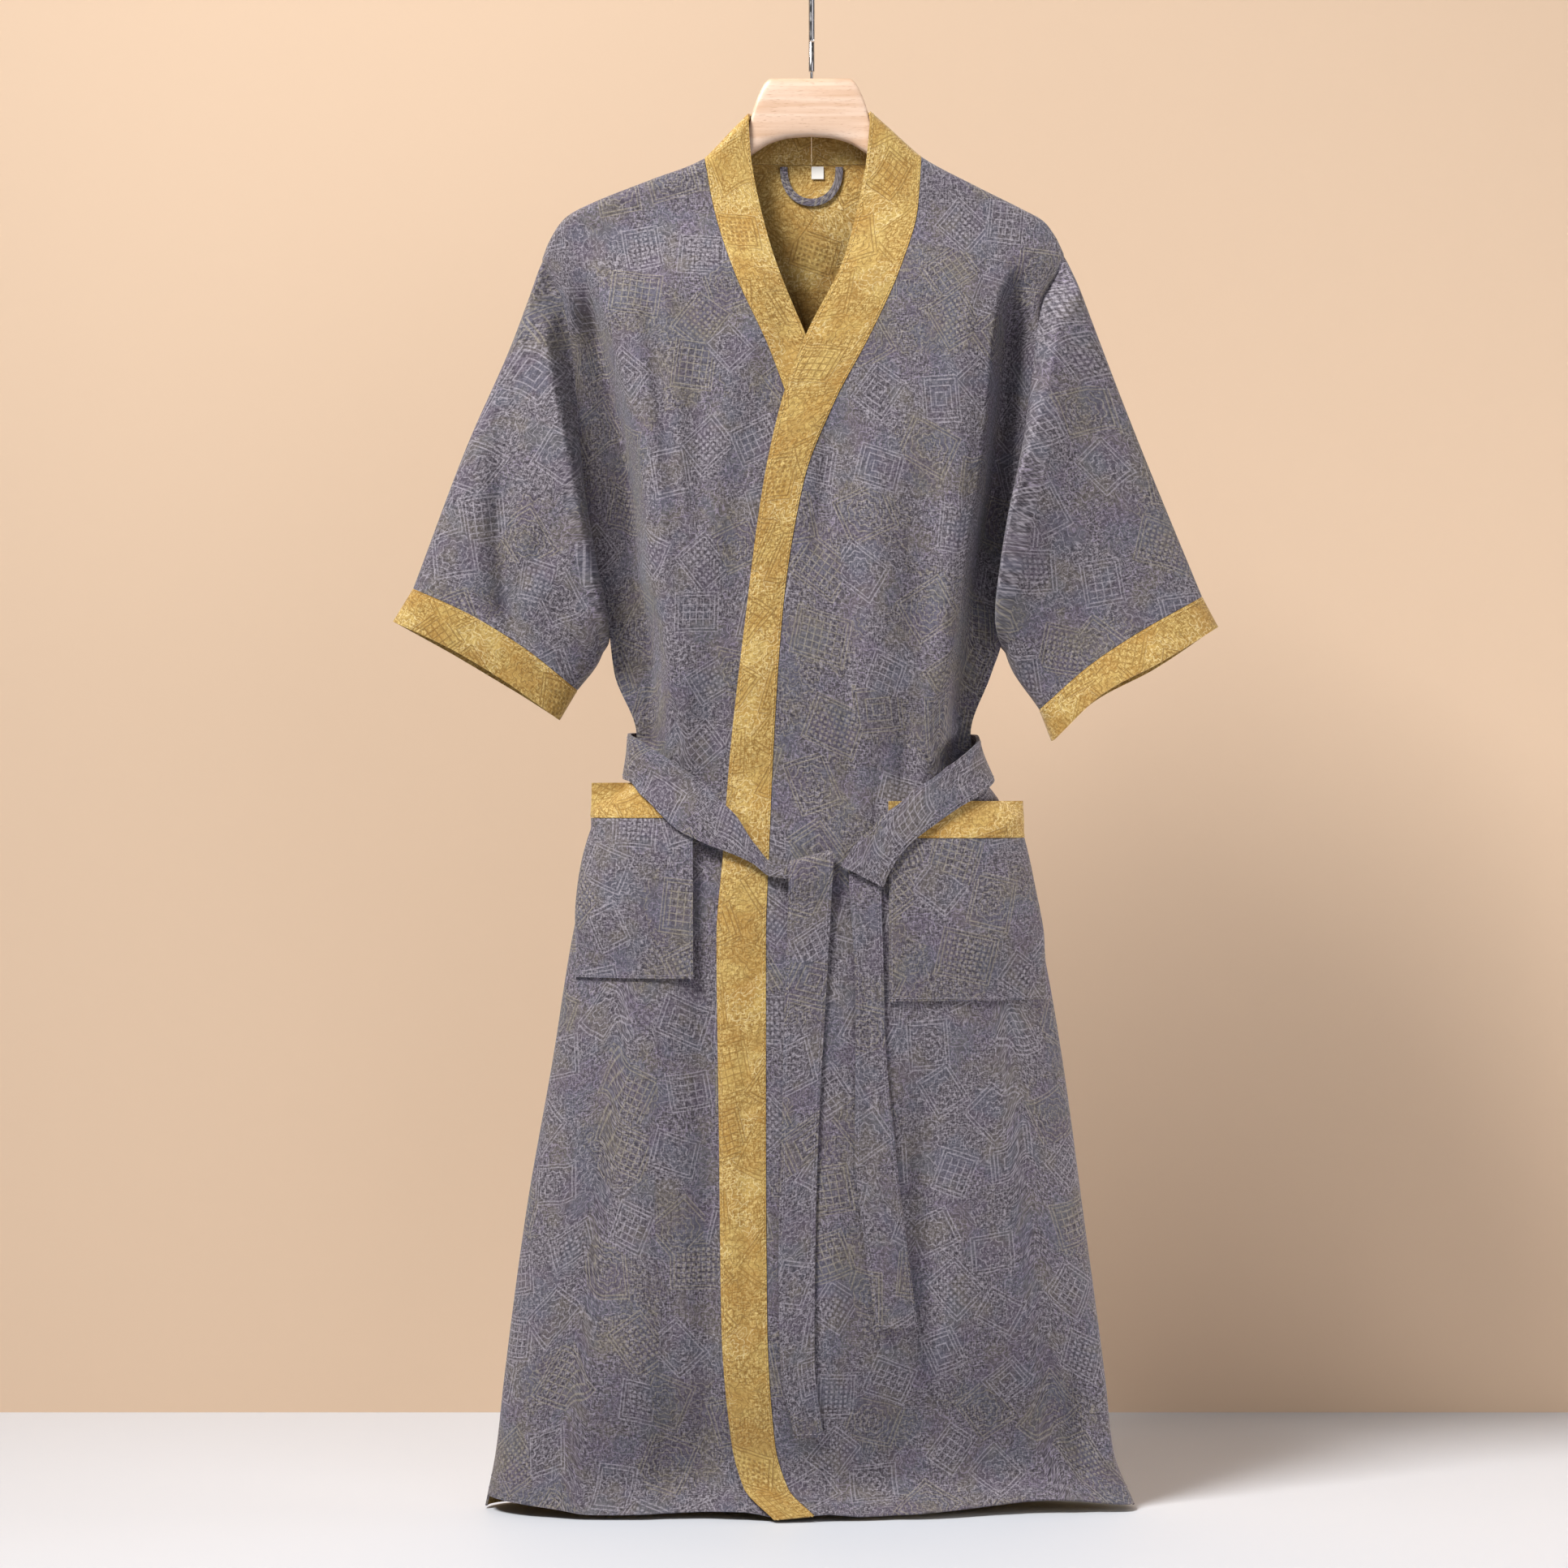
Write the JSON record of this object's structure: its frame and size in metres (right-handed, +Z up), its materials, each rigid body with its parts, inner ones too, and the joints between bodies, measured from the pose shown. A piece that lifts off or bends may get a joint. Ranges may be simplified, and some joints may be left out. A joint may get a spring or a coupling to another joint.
{
  "type": "kimono robe on hanger",
  "caption": "Short-sleeved cotton kimono robe with mustard bands, patch pockets and a tied belt, hanging on a wooden hanger with a metal hook.",
  "frame": {"origin": "inside top of the hanger's hook, where the rail carries it", "axes": "+Z up; +X to the viewer's right, which is the wearer's left; -Y is the robe's front"},
  "size_m": [0.7108, 0.1434, 1.3201],
  "materials": {
    "cloth_grey": "matt",
    "cloth_mustard": "matt",
    "label_white": "satin",
    "beech": "satin lacquer",
    "hook_steel": "polished"
  },
  "bodies": {
    "root": {"back_panel": "cloth_grey", "front_left": "cloth_grey", "front_right": "cloth_grey", "sleeve_left": "cloth_grey", "sleeve_right": "cloth_grey", "pocket_left": "cloth_grey", "pocket_right": "cloth_grey", "belt_waist": "cloth_grey", "belt_tail_long": "cloth_grey", "belt_tail_short": "cloth_grey", "hang_loop": "cloth_grey", "neck_band_left": "cloth_mustard", "neck_band_right": "cloth_mustard", "cuff_left": "cloth_mustard", "cuff_right": "cloth_mustard", "pocket_band_left": "cloth_mustard", "pocket_band_right": "cloth_mustard", "size_label": "label_white", "hanger_board": "beech", "hanger_hook": "hook_steel", "hook_pin": "hook_steel"}
  },
  "joints": []
}
